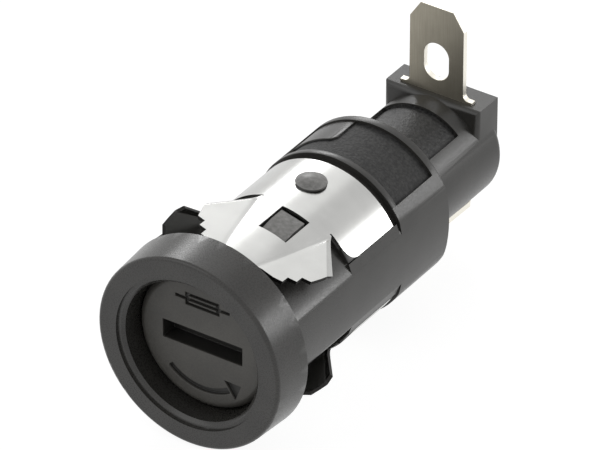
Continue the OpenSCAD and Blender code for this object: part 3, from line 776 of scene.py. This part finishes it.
def cut_sheet(outline, length):
    """A flat wing, cut across where fold and lip will bend. Its edges take the second finish."""
    cuts = [((0, fold_room * i / fold_cuts, 0), (0, 1, 0)) for i in range(fold_cuts + 2)]
    cuts += [((length * i / length_cuts, 0, 0), (1, 0, 0)) for i in range(1, length_cuts)]
    for step in lip_cuts:
        at = lip_start + lip_out * step * lip_radius * lip_angle
        cuts.append((at.to_3d(), lip_out.to_3d()))
    shape = cut_plate(outline, cuts, sheet)
    for face in shape.faces:
        face.material_index = int(abs(face.normal.z) < 0.5)
    return shape


def bend_lip(point):
    """Turns what lies outside the lip's line down, round a small radius."""
    flat = point.to_2d()
    beyond = (flat - lip_start).dot(lip_out)
    if beyond <= 0:
        return point
    most = lip_angle * smooth(point.y, *lip_grows)
    turn = min(most, beyond / lip_radius)
    inner = lip_radius - sheet + point.z
    rest = max(beyond - lip_radius * most, 0)
    out = inner * math.sin(turn) + rest * math.cos(turn)
    down = (lip_radius - inner * math.cos(turn)) + rest * math.sin(turn)
    moved = flat + lip_out * (out - beyond)
    return Vector((moved.x, moved.y, sheet - down))


def fold_wing(point, corner, along, across, outward, bend):
    """Puts a point of the flat wing in place: on the panel behind the fold, or on the bent wing."""
    flat = corner + along * point.x + across * point.y
    inside = min(max(point.z, tongue_cover), sheet - tongue_cover)
    spoke = Vector((flat.x, 0, flat.z)).normalized() * (clip_inner + inside)
    on_panel = Vector((spoke.x, flat.y, spoke.z))
    rise = across * math.cos(bend) + outward * math.sin(bend)
    face = outward * math.cos(bend) - across * math.sin(bend)
    on_wing = corner + along * point.x + rise * point.y + face * point.z
    return on_panel.lerp(on_wing, smooth(point.y, 0, fold_room))


print("lip length in mm:", round((lip_stop - lip_start).length / mm, 2))

# %% [markdown]
# Six wings come from the same cut, three of them mirror images, each with the bend of its own
# panel. The frame's hinge turns a wing inwards, which tells its side. Its range ends four degrees
# inside the panel's own line, so the bend at rest is the range less four degrees.

# %% Six wings
pressed_in = 4


def make_wing(name):
    joint = joints[name + "_flex"]
    hinge = Vector(joint["axis"])
    corner = Vector(joint["pos_m"])
    along = -hinge if hinge.y > 0 else hinge
    length = (corner.y - clip_low.y) / -along.y
    middle = corner + along * length / 2
    spoke = Vector((middle.x, 0, middle.z)).normalized()
    outward = (spoke - along * spoke.dot(along)).normalized()
    across = hinge.cross(outward)
    bend = math.radians(joint["range_deg"][1] - pressed_in)
    shape = cut_sheet(wing_outline(length), length)
    for vert in shape.verts:
        vert.co = fold_wing(bend_lip(vert.co), corner, along, across, outward, bend)
    mesh = finished_mesh(name + "_sheet", shape, clip_steel, painted_shade_edge_steel)
    piece = add_to_scene(name + "_sheet", mesh)
    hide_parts(name)
    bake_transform(piece)
    return piece


wings = [make_wing(name) for name in nodes if name.endswith("_wing")]
print("wings:", {piece.name: len(piece.data.polygons) for piece in wings})

# %% [markdown]
# The spring behind the fuse is one wire wound round a rod. A circle of points is carried along
# the helix, so the wire keeps its thickness all the way, and the ends are closed. In use it only
# gets shorter.

# %% Contact spring
wire_radius = 0.25 * mm
spring_turns = 5
rings_per_turn = 32
wire_sides = 12


def wound_wire(name, low, high):
    """A coil along Y that fills the box from low to high."""
    coil_radius = high.x - wire_radius
    rings = spring_turns * rings_per_turn
    rise = high.y - low.y - 2 * wire_radius
    points = []
    for i in range(rings + 1):
        turn = math.tau * i / rings_per_turn
        out = Vector((math.sin(turn), 0, math.cos(turn)))
        middle = out * coil_radius + Vector((0, low.y + wire_radius + rise * i / rings, 0))
        ahead = Vector((math.cos(turn), 0, -math.sin(turn))) * coil_radius
        ahead.y = rise / (math.tau * spring_turns)
        side = ahead.normalized().cross(out)
        for k in range(wire_sides):
            spin = math.tau * k / wire_sides
            spoke = out * math.cos(spin) + side * math.sin(spin)
            points.append(middle + spoke * wire_radius)
    first_end = tuple(reversed(range(wire_sides)))
    last_end = tuple(rings * wire_sides + k for k in range(wire_sides))
    faces = [first_end, last_end]
    for i in range(rings):
        for k in range(wire_sides):
            a = i * wire_sides + k
            b = i * wire_sides + (k + 1) % wire_sides
            faces.append((a, b, b + wire_sides, a + wire_sides))
    mesh = bpy.data.meshes.new(name)
    mesh.from_pydata(points, [], faces)
    mesh.shade_smooth()
    mesh.set_sharp_from_angle(angle=math.radians(60))
    return mesh


spring_low, spring_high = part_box("contact_spring")
spring_mesh = wound_wire("contact_spring_wire", spring_low, spring_high)
spring_mesh.materials.append(spring_steel)
spring = add_to_scene("contact_spring_wire", spring_mesh)
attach(spring, "holder")
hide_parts("contact_spring")
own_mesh(spring)

# %% [markdown]
# The box of the CAD model and the box of the dressed model are written side by side, so that the
# two can be compared.

# %% Size
new_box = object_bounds()
for kind, box in (("CAD", cad_box), ("dressed", new_box)):
    print(kind, "size in mm:", [round(v / mm, 2) for v in box[1] - box[0]])
